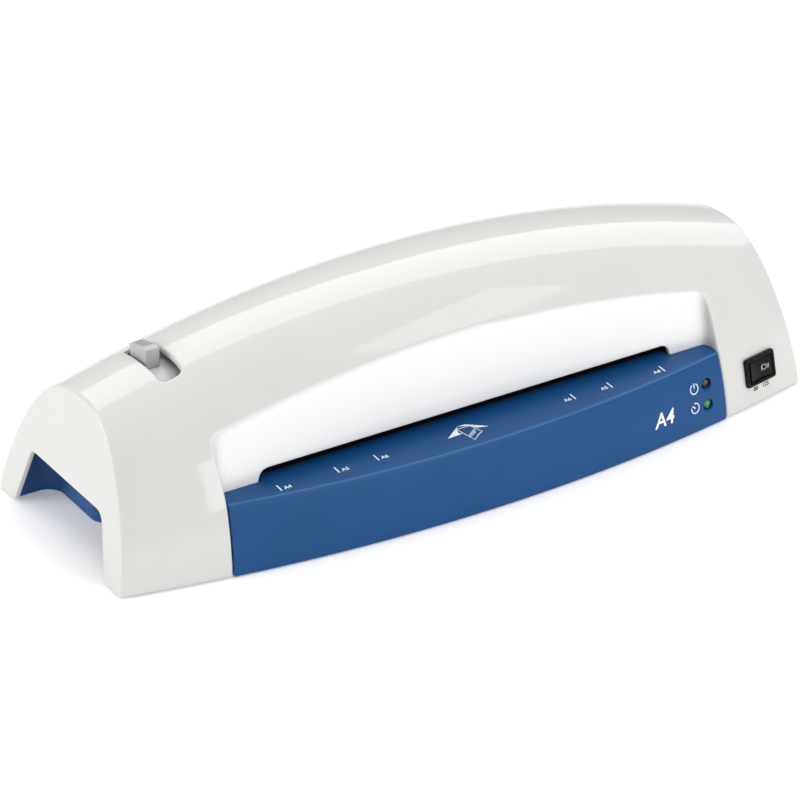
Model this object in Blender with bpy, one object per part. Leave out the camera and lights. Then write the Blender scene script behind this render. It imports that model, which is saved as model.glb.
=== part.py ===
"""Pouch laminator: a domed cover over a base tray, with a heated four-roller train, a gear motor, a release
lever that lifts the upper rollers, and a three-position rocker switch. Every separate piece is its own object.

X runs along the machine, Y from the feed side (-Y) to the exit side (+Y), Z up from the surface it stands on.
Sizes are in millimetres and MM turns them into Blender's metres.
"""

import math

import bmesh
import bpy
from mathutils import Matrix, Vector

MM = 0.001
GAP = 0.3  # clearance kept between pieces that touch

# Outer shell: half length, lowest edge, and the curves that its cross sections follow
HALF_LENGTH = 193.4
BASE_Z = 1.5
WALL = 2.5
FRONT_Y, FRONT_SWEEP = -76.5, 23.6
REAR_Y, REAR_SWEEP = 76.5, 4.0
RIDGE_Y = -5.0
HEIGHT, HEIGHT_DROP, HEIGHT_POWER = 104.2, 27.6, 2.1
FRONT_POWERS = (1.67, 1.99)
REAR_POWERS = (1.155, 2.77)
END_DRAFT = 0.158

# Feed recess and blue front panel
RECESS_WALL_Y = -47.5
RECESS_HALF_TOP, RECESS_HALF_BOTTOM = 138.5, 141.0
RECESS_PEAK_Z, RECESS_FALL, RECESS_POWER = 80.5, 17.0, 2.5
RECESS_CORNER = 7.5
SHELF_Z = 36.1
SHELF_SLOPE = 0.065
PANEL_BOTTOM_Z = 0.5
PANEL_REAR_Y = -47.9

# Feed path and roller train
POUCH_Z = 38.9
FEED_HALF = 110.6
ROLLER_Y = 22.0
ROLLER_R = 10.85
CORE_R = 8.0
SHAFT_R = 3.0
SLEEVE_HALF = 113.0
LOWER_Z, UPPER_Z = POUCH_Z - 11.0, POUCH_Z + 11.0
FRAME_X, FRAME_T = 122.0, 2.0
CARRIAGE_X = 124.4
SPRING_X = 127.4
GEAR_X, GEAR_WIDTH = 128.0, 6.0
GEAR_TEETH, PINION_TEETH = 22, 12
MODULE = 1.0
SHAFT_END = GEAR_X + GEAR_WIDTH + 0.5
MOTOR_Y = ROLLER_Y + MODULE * (GEAR_TEETH + PINION_TEETH) / 2

# Release lever, which turns a shaft with two cams
LEVER_X = -143.5
PIVOT_Y, PIVOT_Z = 1.0, 46.0
SKIRT_R = 35.0
CAM_HUB_R, CAM_LOBE_R, CAM_REACH, CAM_ANGLE = 4.6, 2.0, 7.0, 75.0

# Rocker switch on the right wing: its place, and how the wing's face is turned and tilted there
SWITCH_X, SWITCH_Z = 164.2, 18.9
SWITCH_TURN, SWITCH_TILT = 11.8, -11.0
BEZEL_W, BEZEL_H = 21.0, 15.0

LED_X, LED_ZS = 128.0, {"led_ready": 12.4, "led_power": 23.1}
HAND_HOLD_X = 172.9
GLAND_X, GLAND_Z = -148.0, 18.0

WHITE = (0.72, 0.72, 0.69)
BLUE = (0.035, 0.115, 0.28)
BLACK = (0.02, 0.02, 0.022)
GREY = (0.55, 0.55, 0.53)
STEEL = (0.60, 0.60, 0.62)
NYLON = (0.80, 0.78, 0.70)
SILICONE = (0.35, 0.10, 0.06)


def clear_scene():
    for obj in list(bpy.data.objects):
        bpy.data.objects.remove(obj, do_unlink=True)


def finish(obj, colour, roughness=0.4, metallic=0.0):
    """Gives a piece its own Principled material, and smooth shading over its gentle edges."""
    material = bpy.data.materials.new(obj.name)
    material.use_nodes = True
    shader = material.node_tree.nodes["Principled BSDF"]
    shader.inputs["Base Color"].default_value = (*colour, 1.0)
    shader.inputs["Roughness"].default_value = roughness
    shader.inputs["Metallic"].default_value = metallic
    obj.data.materials.append(material)
    obj.data.shade_smooth()
    obj.data.set_sharp_from_angle(angle=math.radians(30))
    return obj


def solid(name, points, faces, at=(0, 0, 0)):
    """A closed mesh object from points in millimetres, with its faces turned outwards."""
    mesh = bpy.data.meshes.new(name)
    mesh.from_pydata([Vector(p) * MM for p in points], [], faces)
    shape = bmesh.new()
    shape.from_mesh(mesh)
    bmesh.ops.recalc_face_normals(shape, faces=shape.faces)
    shape.to_mesh(mesh)
    shape.free()
    obj = bpy.data.objects.new(name, mesh)
    obj.location = Vector(at) * MM
    bpy.context.scene.collection.objects.link(obj)
    return obj


def loft(name, rings, closed=False, at=(0, 0, 0)):
    """A skin over equal rings of points, capped at both ends or, when closed, joined end to end."""
    size = len(rings[0])
    points = [p for ring in rings for p in ring]
    faces = []
    for row in range(len(rings) if closed else len(rings) - 1):
        low, high = row * size, (row + 1) % len(rings) * size
        faces += [(low + i, low + (i + 1) % size, high + (i + 1) % size, high + i) for i in range(size)]
    if not closed:
        faces += [tuple(range(size)), tuple(range(len(points) - size, len(points)))]
    return solid(name, points, faces, at)


def prism(name, outline, axis, low, high, at=(0, 0, 0)):
    """An outline in the plane across axis (its two numbers in X, Y, Z order), extruded from low to high."""
    k = "XYZ".index(axis)
    rings = [[(*p[:k], level, *p[k:]) for p in outline] for level in (low, high)]
    return loft(name, rings, at=at)


def block(name, low, high, at=(0, 0, 0)):
    corners = [(low[0], low[1]), (high[0], low[1]), (high[0], high[1]), (low[0], high[1])]
    return prism(name, corners, "Z", low[2], high[2], at)


def circle(radius, count, centre=(0, 0), start=0.0):
    turns = [start + 2 * math.pi * i / count for i in range(count)]
    return [(centre[0] + radius * math.cos(a), centre[1] + radius * math.sin(a)) for a in turns]


def lathe(name, profile, at=(0, 0, 0), closed=False, sides=24):
    """A profile of (x, radius) points turned about the X axis."""
    rings = [[(x, *p) for p in circle(radius, sides)] for x, radius in profile]
    return loft(name, rings, closed, at)


def tube(name, low, high, inner, outer, at=(0, 0, 0), sides=24):
    profile = [(low, inner), (low, outer), (high, outer), (high, inner)]
    return lathe(name, profile, at, closed=True, sides=sides)


def rounded(outline, radii, steps=5):
    """The outline with each corner that radii names, by its index, replaced by an arc."""
    points = []
    for i, corner in enumerate(outline):
        here = Vector(corner)
        if i not in radii:
            points.append(corner)
            continue
        back = (Vector(outline[i - 1]) - here).normalized()
        ahead = (Vector(outline[(i + 1) % len(outline)]) - here).normalized()
        half = back.angle(ahead) / 2
        centre = here + (back + ahead).normalized() * radii[i] / math.sin(half)
        first = here + back * radii[i] / math.tan(half) - centre
        last = here + ahead * radii[i] / math.tan(half) - centre
        for k in range(steps + 1):
            turned_to = first.slerp(last, k / steps).normalized()
            points.append(tuple(centre + turned_to * radii[i]))
    return points


def combine(obj, other, operation="DIFFERENCE"):
    """Adds a Boolean to obj and hides the other shape, which becomes a construction guide."""
    modifier = obj.modifiers.new(other.name, "BOOLEAN")
    modifier.operation = operation
    modifier.solver = "EXACT"
    modifier.object = other
    other.hide_render = True
    other.display_type = "WIRE"
    return obj


def holes(obj, centres, radius, low, high, sides=16):
    """Round holes along X through a plate, at (y, z) centres."""
    for i, (y, z) in enumerate(centres):
        name = f"{obj.name}_hole_{radius:g}_{i}"
        combine(obj, prism(name, circle(radius, sides), "X", low, high, (0, y, z)))


def shell_point(x, turn, inset):
    """A point of the shell's surface; turn runs from -1 at the front edge over 0 at the ridge to 1 at the rear."""
    half = HALF_LENGTH - inset
    share = abs(x) / half
    edge = FRONT_Y + FRONT_SWEEP * share**2 + inset
    powers = FRONT_POWERS
    if turn > 0:
        edge = REAR_Y - REAR_SWEEP * share**2 - inset
        powers = REAR_POWERS
    height = HEIGHT - HEIGHT_DROP * share**HEIGHT_POWER - inset
    angle = abs(turn) * math.pi / 2
    z = height * max(math.cos(angle), 0.0) ** (2 / powers[0])
    y = RIDGE_Y + (edge - RIDGE_Y) * math.sin(angle) ** (2 / powers[1])
    return (x * (1 - END_DRAFT * z / half), y, BASE_Z + z)


def front_face_y(x, z):
    """How far forward the shell's front face stands at x and height z."""
    low, high = -1.0, 0.0
    for _ in range(30):
        middle = (low + high) / 2
        low, high = (middle, high) if shell_point(x, middle, 0)[2] < z else (low, middle)
    return shell_point(x, low, 0)[1]


def shell(name, inset=0.0, bottom=BASE_Z, stations=24, steps=14):
    """The whole shell as a solid, inset by a wall's thickness, with its edge carried down to bottom."""
    half = HALF_LENGTH - inset
    rings = []
    for i in range(stations + 1):
        x = half * (2 * i / stations - 1)
        ring = [shell_point(x, k / steps, inset) for k in range(-steps, steps + 1)]
        if bottom < BASE_Z:
            foot_x = x * (1 - END_DRAFT * (bottom - BASE_Z) / half)
            ring = [(foot_x, ring[0][1], bottom), *ring, (foot_x, ring[-1][1], bottom)]
        rings.append(ring)
    return loft(name, rings)


def recess_outline(grow=0.0):
    """The feed recess seen from the front: an arched top with rounded corners over straight, splayed sides."""
    side = RECESS_HALF_TOP
    arch = [side * i / 14 for i in range(-13, 14)]
    top = [(x, RECESS_PEAK_Z - RECESS_FALL * (abs(x) / side) ** RECESS_POWER + grow) for x in arch]
    corner_z = RECESS_PEAK_Z - RECESS_FALL + grow
    right = [(side + grow, corner_z), (side + grow, SHELF_Z), (RECESS_HALF_BOTTOM + grow, -10.0)]
    left = [(-x, z) for x, z in reversed(right)]
    outline = left + top + right
    return rounded(outline, {2: RECESS_CORNER, len(outline) - 3: RECESS_CORNER})


def turned(obj, turn=SWITCH_TURN, tilt=SWITCH_TILT):
    """Sets a piece's rotation to that of the wing's face at the switch."""
    obj.rotation_euler = (math.radians(tilt), 0, math.radians(turn))
    return obj


def switch_at():
    return (SWITCH_X, front_face_y(SWITCH_X, SWITCH_Z), SWITCH_Z)


def make_top_cover():
    cover = shell("top_cover")
    cavity = shell("cover_cavity", WALL, -8.0, stations=16, steps=10)
    combine(cavity, prism("cavity_recess", recess_outline(WALL), "Y", -120, RECESS_WALL_Y + WALL))
    combine(cover, prism("recess", recess_outline(), "Y", -120, RECESS_WALL_Y))
    combine(cover, cavity)
    combine(cover, block("panel_opening", (-136, -54, -9), (136, -40, SHELF_Z)))
    slot = [(FEED_HALF, 41.7), (113.6, 41.1), (115.6, 39.4), (116.4, 35.9)]
    slot += [(-x, z) for x, z in reversed(slot)]
    combine(cover, prism("feed_slot", slot, "Y", -50.3, -42))
    combine(cover, block("exit_slot", (-114, 52, 36.2), (114, 80, 42.4)))
    lever_slot = rounded([(-149.5, -18.6), (-137.5, -18.6), (-137.5, 21.8), (-149.5, 21.8)], {0: 2, 1: 2}, 3)
    combine(cover, prism("lever_slot", lever_slot, "Z", 70, 100))
    foot = rounded([(-38.8, -8), (-27.6, 32.3), (43.2, 32.3), (59.4, -8)], {1: 6, 2: 3}, 4)
    for side in (-1, 1):
        combine(cover, prism(f"end_cutout_{side}", foot, "X", side * 160, side * 210))
    combine(cover, turned(block("switch_hole", (-9.9, -12, -6.9), (9.9, 12, 6.9), switch_at())))
    combine(cover, prism("gland_hole", circle(6.3, 16), "Y", 50, 85, (GLAND_X, 0, GLAND_Z)))
    finish(cover, WHITE, 0.35)


def make_front_panel():
    panel = shell("front_panel", 0, PANEL_BOTTOM_Z, steps=12)
    half_top, half_bottom = RECESS_HALF_TOP - GAP, RECESS_HALF_BOTTOM - GAP
    front = [(-half_bottom, -9), (-half_top, 40), (half_top, 40), (half_bottom, -9)]
    combine(panel, prism("panel_front", front, "Y", -120, PANEL_REAR_Y), "INTERSECT")
    low_z = SHELF_Z - SHELF_SLOPE * 70
    side = [(PANEL_REAR_Y + 1, -9), (PANEL_REAR_Y + 1, SHELF_Z), (-118, low_z), (-118, -9)]
    combine(panel, prism("panel_side", side, "X", -150, 150), "INTERSECT")
    hollow = shell("panel_hollow", WALL, -8.0, stations=16, steps=10)
    room = [(-40, -9), (-40, SHELF_Z - WALL), (-118, low_z - WALL), (-118, -9)]
    combine(hollow, prism("panel_room", room, "X", -(half_top - WALL), half_top - WALL), "INTERSECT")
    combine(panel, hollow)
    for name, z in LED_ZS.items():
        combine(panel, prism(f"{name}_hole", circle(2.9, 16), "Y", -80, -50, (LED_X, 0, z)))
    finish(panel, BLUE, 0.35)


def make_base_tray():
    tray = block("base_tray", (-200, -90, BASE_Z), (200, 90, 4.0))
    for side in (-1, 1):
        low, high = sorted((side * (HAND_HOLD_X - WALL), side * 200))
        combine(tray, block(f"hand_hold_box_{side}", (low, -31, BASE_Z + 1), (high, 59, 35.2)), "UNION")
    combine(tray, shell("tray_bounds", WALL + 0.4, -8.0, stations=16, steps=10), "INTERSECT")
    for side in (-1, 1):
        low, high = sorted((side * HAND_HOLD_X, side * 205))
        combine(tray, block(f"hand_hold_{side}", (low, -60, -5), (high, 56.5, 32.8)))
        low, high = sorted((side * 134.9, side * 144))
        combine(tray, block(f"wing_wall_room_{side}", (low, -80, -5), (high, -44.4, 10)))
        for k in range(5):
            x = side * (30 + 16 * k)
            combine(tray, block(f"vent_{side}_{k}", (x - 2, -10, -5), (x + 2, 14, 10)))
        for y in (-24, 24):
            combine(tray, prism(f"head_room_{side}_{y}", circle(3.6, 16), "Z", -5, 2.9, (side * 116, y, 0)))
            combine(tray, prism(f"screw_hole_{side}_{y}", circle(1.9, 12), "Z", -6, 10, (side * 116, y, 0)))
    finish(tray, BLUE, 0.45)


def make_feet_and_screws():
    for x, side in ((-150, "left"), (150, "right")):
        for y, end in ((-40, "front"), (50, "rear")):
            disc = [(0.0, 7.0), (BASE_Z - GAP, 7.6)]
            rings = [[(*p, z) for p in circle(radius, 24)] for z, radius in disc]
            finish(loft(f"foot_{end}_{side}", rings, at=(x, y, 0)), (0.05, 0.05, 0.05), 0.8)
    profile = [(1.7, 3.2), (2.6, 3.2), (2.61, 1.6), (8.5, 1.6)]
    for x, side in ((-116, "left"), (116, "right")):
        for y, end in ((-24, "front"), (24, "rear")):
            rings = [[(*p, z) for p in circle(radius, 12)] for z, radius in profile]
            finish(loft(f"frame_screw_{end}_{side}", rings, at=(x, y, 0)), STEEL, 0.3, 1.0)


def make_side_frame(side, name):
    """A steel plate with the shaft holes, two bent feet with screw holes and a tab that the spring pushes on."""
    low, high = sorted((side * FRAME_X, side * (FRAME_X + FRAME_T)))
    outline = rounded([(-36, 4.3), (40, 4.3), (40, 30), (32, 71), (-32, 71), (-36, 60)], {3: 4, 4: 4}, 3)
    frame = prism(name, outline, "X", low, high)
    inner = side * 110
    for y in (-24, 24):
        foot = (sorted((inner, side * (FRAME_X + 0.5))), (y - 6, y + 6))
        shape = block(f"{name}_foot_{y}", (foot[0][0], y - 6, 4.3), (foot[0][1], y + 6, 5.8))
        combine(frame, shape, "UNION")
        combine(frame, prism(f"{name}_foot_hole_{y}", circle(1.9, 12), "Z", 0, 7, (side * 116, y, 0)))
    tab = sorted((side * (FRAME_X + 0.5), side * (SPRING_X + 3)))
    combine(frame, block(f"{name}_tab", (tab[0], -4, 69.2), (tab[1], 6, 70.7)), "UNION")
    holes(frame, [(-ROLLER_Y, LOWER_Z), (ROLLER_Y, LOWER_Z)], 5.3, low - 1, high + 1)
    holes(frame, [(PIVOT_Y, PIVOT_Z)], SHAFT_R + GAP, low - 1, high + 1)
    for y in (-ROLLER_Y, ROLLER_Y):
        slot = [(y - 3.4, 46.0), (y + 3.4, 46.0), (y + 3.4, 55.2), (y - 3.4, 55.2)]
        combine(frame, prism(f"{name}_slot_{y:g}", slot, "X", low - 1, high + 1))
    if side > 0:
        holes(frame, [(0, LOWER_Z)], 2.5 + GAP, low - 1, high + 1)
    finish(frame, STEEL, 0.45, 1.0)


def make_frame():
    make_side_frame(-1, "side_frame_left")
    make_side_frame(1, "side_frame_right")
    reach = FRAME_X - GAP
    for name, y in (("tie_bar_front", -33), ("tie_bar_rear", 36)):
        finish(block(name, (-reach, y - 3, 9), (reach, y + 3, 15)), STEEL, 0.45, 1.0)
    plates = {
        "entry_guide_lower": (-47.4, -30.5, 34.9, 36.3),
        "entry_guide_upper": (-44.5, -32.5, 41.6, 43.0),
        "exit_guide": (30.5, 60.0, 34.9, 36.3),
    }
    for name, (front, rear, low, high) in plates.items():
        finish(block(name, (-116, front, low), (116, rear, high)), BLACK, 0.5)
    for name, low in (("heater_plate_lower", 35.2), ("heater_plate_upper", 40.6)):
        finish(block(name, (-reach, -12, low), (reach, 12, low + 2)), (0.7, 0.7, 0.72), 0.35, 1.0)
    finish(tube("thermostat", -3.5, 3.5, 1.2, 6.0, (0, 0, 28.6)), BLACK, 0.4)
    finish(lathe("thermal_fuse", [(-8, 2.0), (8, 2.0)], (40, 0, 32.6), sides=12), (0.8, 0.8, 0.75), 0.4)


def gear(name, teeth, at, phase):
    """A spur gear about X; phase is the angle of one tooth, in degrees from +Y towards +Z."""
    pitch = 2 * math.pi / teeth
    radius = MODULE * teeth / 2
    flank = ((-0.30, -1.25), (-0.11, 0.9), (0.11, 0.9), (0.30, -1.25))
    rim = []
    for k in range(teeth):
        for share, reach in flank:
            angle = math.radians(phase) + (k + share) * pitch
            rim.append(((radius + reach) * math.cos(angle), (radius + reach) * math.sin(angle)))
    wheel = prism(name, rim, "X", 0, GEAR_WIDTH, at)
    bore = 2.5 + GAP if teeth == PINION_TEETH or name == "idler_gear" else SHAFT_R + GAP
    combine(wheel, prism(f"{name}_bore", circle(bore, 16), "X", -1, GEAR_WIDTH + 1, at))
    finish(wheel, NYLON, 0.5)


def make_rollers():
    half_pitch = 180 / GEAR_TEETH
    ends = (("infeed", -ROLLER_Y), ("outfeed", ROLLER_Y))
    for level, z in (("lower", LOWER_Z), ("upper", UPPER_Z)):
        for end, y in ends:
            core = [(-SLEEVE_HALF - 1, CORE_R), (SLEEVE_HALF + 1, CORE_R)]
            profile = [(-127.4, SHAFT_R), (core[0][0] - 0.01, SHAFT_R), *core]
            profile += [(core[1][0] + 0.01, SHAFT_R), (SHAFT_END, SHAFT_R)]
            finish(lathe(f"{end}_{level}_shaft", profile, (0, y, z), sides=20), STEEL, 0.25, 1.0)
            sleeve = tube(f"{end}_{level}_sleeve", -SLEEVE_HALF, SLEEVE_HALF, CORE_R + GAP, ROLLER_R, (0, y, z))
            finish(sleeve, SILICONE, 0.6)
            gear(f"{end}_{level}_gear", GEAR_TEETH, (GEAR_X, y, z), 0 if level == "lower" else 90)
    gear("idler_gear", GEAR_TEETH, (GEAR_X, 0, LOWER_Z), half_pitch)
    finish(lathe("idler_pin", [(117, 2.5), (SHAFT_END, 2.5)], (0, 0, LOWER_Z), sides=16), STEEL, 0.3, 1.0)
    for side, name in ((-1, "left"), (1, "right")):
        for end, y in ends:
            low, high = sorted((side * (FRAME_X - 1), side * (FRAME_X + FRAME_T + 0.1)))
            ring = tube(f"bush_{end}_{name}", low, high, SHAFT_R + GAP, 5.0, (0, y, LOWER_Z), sides=16)
            finish(ring, (0.65, 0.42, 0.18), 0.4, 1.0)


def make_motor():
    profile = [(128.0, 2.5), (137.6, 2.5), (137.61, 20.5), (156.0, 20.5), (158.0, 18.5)]
    finish(lathe("gear_motor", profile, (0, MOTOR_Y, LOWER_Z), sides=28), STEEL, 0.35, 1.0)
    gear("motor_pinion", PINION_TEETH, (GEAR_X, MOTOR_Y, LOWER_Z), 180 / PINION_TEETH)
    bracket = block("motor_bracket", (135.6, 18, 4.4), (137.2, 52, 46.0))
    combine(bracket, block("bracket_foot", (136.5, 18, 4.4), (152, 52, 5.9)), "UNION")
    combine(bracket, prism("bracket_bore", circle(4.5, 16), "X", 130, 140, (0, MOTOR_Y, LOWER_Z)))
    finish(bracket, STEEL, 0.45, 1.0)


def cam_outline():
    """A hub with a lobe that leans back, as the hull of two circles."""
    angle = math.radians(90 - CAM_ANGLE)
    lobe = (CAM_REACH * math.cos(angle), CAM_REACH * math.sin(angle))
    spread = math.acos((CAM_HUB_R - CAM_LOBE_R) / CAM_REACH)
    start, end = angle + spread, angle + 2 * math.pi - spread
    hub_turns = [start + (end - start) * i / 16 for i in range(17)]
    tip_turns = [angle - spread + 2 * spread * i / 6 for i in range(7)]
    rim = [(CAM_HUB_R * math.cos(a), CAM_HUB_R * math.sin(a)) for a in hub_turns]
    rim += [(lobe[0] + CAM_LOBE_R * math.cos(a), lobe[1] + CAM_LOBE_R * math.sin(a)) for a in tip_turns]
    return rim


def make_release():
    pivot = (0, PIVOT_Y, PIVOT_Z)
    finish(lathe("release_shaft", [(-149, SHAFT_R), (127.4, SHAFT_R)], pivot, sides=20), STEEL, 0.3, 1.0)
    bar_x = CARRIAGE_X + FRAME_T
    for side, name in ((-1, "left"), (1, "right")):
        low, high = sorted((side * (CARRIAGE_X + 0.1), side * (bar_x - 0.1)))
        cam = prism(f"release_cam_{name}", cam_outline(), "X", low, high, pivot)
        combine(cam, prism(f"cam_bore_{name}", circle(SHAFT_R + GAP, 16), "X", low - 1, high + 1, pivot))
        finish(cam, GREY, 0.4)
        low, high = sorted((side * CARRIAGE_X, side * bar_x))
        outline = rounded([(-29, 36.8), (29, 36.8), (29, 60.5), (-29, 60.5)], {0: 3, 1: 3, 2: 3, 3: 3}, 3)
        plate = prism(f"carriage_{name}", outline, "X", low, high)
        ledge = sorted((side * (CARRIAGE_X + 0.5), side * (SPRING_X + 3)))
        seat = block(f"spring_seat_{name}", (ledge[0], -2.5, 58.9), (ledge[1], 4.5, 60.4))
        combine(plate, seat, "UNION")
        window = [(-5.5, 39.4), (11.3, 39.4), (11.3, 50.9), (-5.5, 50.9)]
        combine(plate, prism(f"cam_window_{name}", window, "X", low - 1, high + 1))
        holes(plate, [(-ROLLER_Y, UPPER_Z), (ROLLER_Y, UPPER_Z)], SHAFT_R + GAP, low - 1, high + 1)
        finish(plate, STEEL, 0.45, 1.0)
        make_spring(f"carriage_spring_{name}", (side * SPRING_X, PIVOT_Y, 60.7), 8.2, 2.2, 5)
    make_lever(pivot)


def make_spring(name, at, height, radius, turns, wire=0.45, steps=12):
    """A compression spring standing on at, as a round wire swept along a helix."""
    rings = []
    for i in range(turns * steps + 1):
        angle = 2 * math.pi * i / steps
        out = Vector((math.cos(angle), math.sin(angle), 0))
        centre = out * radius + Vector((0, 0, wire + (height - 2 * wire) * i / (turns * steps)))
        rings.append([centre + out * u + Vector((0, 0, v)) for u, v in circle(wire, 6)])
    finish(loft(name, rings, at=at), STEEL, 0.3, 1.0)


def make_lever(pivot):
    """Arm with a hub on the shaft and a curved skirt under the cover's slot, and the knob on top of it."""
    arc = [math.radians(a) for a in range(-38, 59, 6)]
    outer = [(SKIRT_R * math.sin(a), SKIRT_R * math.cos(a)) for a in arc]
    inner = [((SKIRT_R - 2) * math.sin(a), (SKIRT_R - 2) * math.cos(a)) for a in reversed(arc)]
    low, high = LEVER_X - 7.3, LEVER_X + 7.3
    arm = prism("release_arm", outer + inner, "X", low, high, pivot)
    web = [(-5, -2), (5, -2), (9, SKIRT_R - 1.5), (1, SKIRT_R - 1.5)]
    combine(arm, prism("arm_web", web, "X", LEVER_X - 2, LEVER_X + 2, pivot), "UNION")
    combine(arm, prism("arm_hub", circle(6.5, 20), "X", LEVER_X - 4.5, LEVER_X + 4.5, pivot), "UNION")
    combine(arm, prism("arm_bore", circle(SHAFT_R + GAP, 16), "X", LEVER_X - 9, LEVER_X + 9, pivot))
    finish(arm, GREY, 0.4)
    profile = [(-2.3, 35.4), (-2.9, 47.4), (0.3, 47.9), (17.0, 44.0), (17.8, 43.2), (17.2, 32.6), (10.0, 35.4)]
    top = rounded([(y, z) for y, z in profile], {1: 0.8, 4: 0.6}, 2)
    skin = [(SKIRT_R + GAP, a) for a in (4, 10, 16, 22, 28)]
    seat = [(radius * math.sin(math.radians(a)), radius * math.cos(math.radians(a))) for radius, a in skin]
    top = [p for p in top if p[1] > 36] + [(17.4, 40.0)] + list(reversed(seat)) + [(-2.3, SKIRT_R + GAP)]
    finish(prism("release_knob", top, "X", LEVER_X - 4.8, LEVER_X + 4.8, pivot), GREY, 0.35)


def make_electrics():
    board = block("control_board", (100, -52.0, 6.0), (134.5, -50.4, 31.0))
    finish(board, (0.03, 0.20, 0.07), 0.4)
    for name, z in LED_ZS.items():
        face_y = front_face_y(LED_X, z)
        profile = ((face_y + 0.6, 2.1), (face_y + 1.4, 2.5), (-52.3, 2.5))
        rings = [[(p[0], y, p[1]) for p in circle(radius, 16)] for y, radius in profile]
        lens = loft(name, rings, at=(LED_X, 0, z))
        finish(lens, (0.30, 0.02, 0.02) if name == "led_power" else (0.02, 0.35, 0.06), 0.2)
    housing = block("switch_housing", (-BEZEL_W / 2, -2.0, -BEZEL_H / 2), (BEZEL_W / 2, -0.3, BEZEL_H / 2), switch_at())
    combine(turned(housing), turned(block("switch_body", (-9.4, -1, -6.4), (9.4, 18, 6.4), switch_at())), "UNION")
    combine(housing, turned(block("switch_well", (-8.5, -3, -5.5), (8.5, 9, 5.5), switch_at())))
    finish(housing, BLACK, 0.3)
    face = [(-7.6, -0.6), (-7.2, -2.0), (0, -1.2), (7.2, -2.0), (7.6, -0.6), (5.0, 4.0), (-5.0, 4.0)]
    finish(turned(prism("switch_rocker", face, "Z", -5.1, 5.1, switch_at())), BLACK, 0.25)
    gland = [(56.0, 8.0), (58.0, 8.0), (58.01, 6.0), (72.6, 6.0), (74.0, 5.0)]
    rings = [[(p[0], y, p[1]) for p in circle(radius, 20)] for y, radius in gland]
    finish(loft("cord_gland", rings, at=(GLAND_X, 0, GLAND_Z)), BLACK, 0.5)


def main():
    clear_scene()
    make_top_cover()
    make_front_panel()
    make_base_tray()
    make_feet_and_screws()
    make_frame()
    make_rollers()
    make_motor()
    make_release()
    make_electrics()


main()
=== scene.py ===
"""Looks of the pouch laminator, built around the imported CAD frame.

The white cover and the blue front panel are skins laid over the same curves as the CAD shell, with
rounded edges and a real wall thickness. Shapes are in the frame's axes and in millimetres, which MM
turns into metres. Angles are in degrees.
"""

import math

import bmesh
import bpy
import numpy as np
from mathutils import Matrix, Vector


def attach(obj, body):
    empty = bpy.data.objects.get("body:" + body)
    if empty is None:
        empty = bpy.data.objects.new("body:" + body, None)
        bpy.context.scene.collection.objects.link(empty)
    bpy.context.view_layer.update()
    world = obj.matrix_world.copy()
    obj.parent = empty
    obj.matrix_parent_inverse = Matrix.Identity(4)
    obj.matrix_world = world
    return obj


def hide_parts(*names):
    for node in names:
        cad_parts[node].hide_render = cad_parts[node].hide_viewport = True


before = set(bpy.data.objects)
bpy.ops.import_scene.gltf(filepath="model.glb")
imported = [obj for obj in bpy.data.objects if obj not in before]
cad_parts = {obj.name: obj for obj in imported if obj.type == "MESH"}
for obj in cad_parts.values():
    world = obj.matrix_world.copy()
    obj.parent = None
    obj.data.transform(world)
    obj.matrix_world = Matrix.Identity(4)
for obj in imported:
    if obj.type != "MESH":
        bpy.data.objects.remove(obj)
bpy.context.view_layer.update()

MM = 0.001

# The shell's curves, as in the CAD
HALF_LENGTH = 193.4
BASE_Z = 1.5
FRONT_Y, FRONT_SWEEP = -76.5, 23.6
REAR_Y, REAR_SWEEP = 76.5, 4.0
RIDGE_Y = -5.0
HEIGHT, HEIGHT_DROP, HEIGHT_POWER = 104.2, 27.6, 2.1
FRONT_POWERS, REAR_POWERS = (1.67, 1.99), (1.155, 2.77)
END_DRAFT = 0.158

# Feed recess: its wall, its plan outline with round corners, and the slot at its foot
WALL_Y = -47.5
POCKET_HALF, POCKET_R, POCKET_SPLAY = 138.5, 3.6, 0.054
CORNER_X = POCKET_HALF - POCKET_R
# Higher up, the wall's ends stand further back and its corners are tighter
WALL_SETBACK, SETBACK_POWER, TOP_CORNER_R = 3.1, 2.3, 3.0
SETBACK_Z = (38.0, 60.0)
SHELF_Z, SHELF_SLOPE = 36.1, 0.065
SHELF_REAR_Y = -47.9
WALL_FOOT_Z = 33.0
SLOT_TOP = ((0, 41.7), (110.6, 41.7), (112.2, 41.5), (113.6, 41.0), (114.7, 40.1), (115.5, 38.9))
SLOT_TOP += ((116.1, 37.3), (116.5, 35.4), (116.8, WALL_FOOT_Z), (200, WALL_FOOT_Z))

# Skins: thickness, edge radii, and how far vertices stand from an edge that gets a radius
THICKNESS = 2.2
RECESS_EDGE_R, END_EDGE_R, CREASE_R, RIM_R = 1.7, 1.1, 1.4, 0.8
EDGE_STEPS = (0, 0.35, 0.75, 1.2, 1.7, 2.3, 3.0, 4.0)
END_STEPS = (0, 0.25, 0.5, 0.8, 1.1, 1.5, 2.2)
RIM_STEPS = (0, 0.1, 0.26, 0.5, 0.8)
TOP_POINTS = 250

CUTOUT = ((-38.8, -8.0), (-27.6, 32.3), (43.2, 32.3), (59.4, -8.0))
CUTOUT_RADII = {1: 6.0, 2: 3.5}
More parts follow.
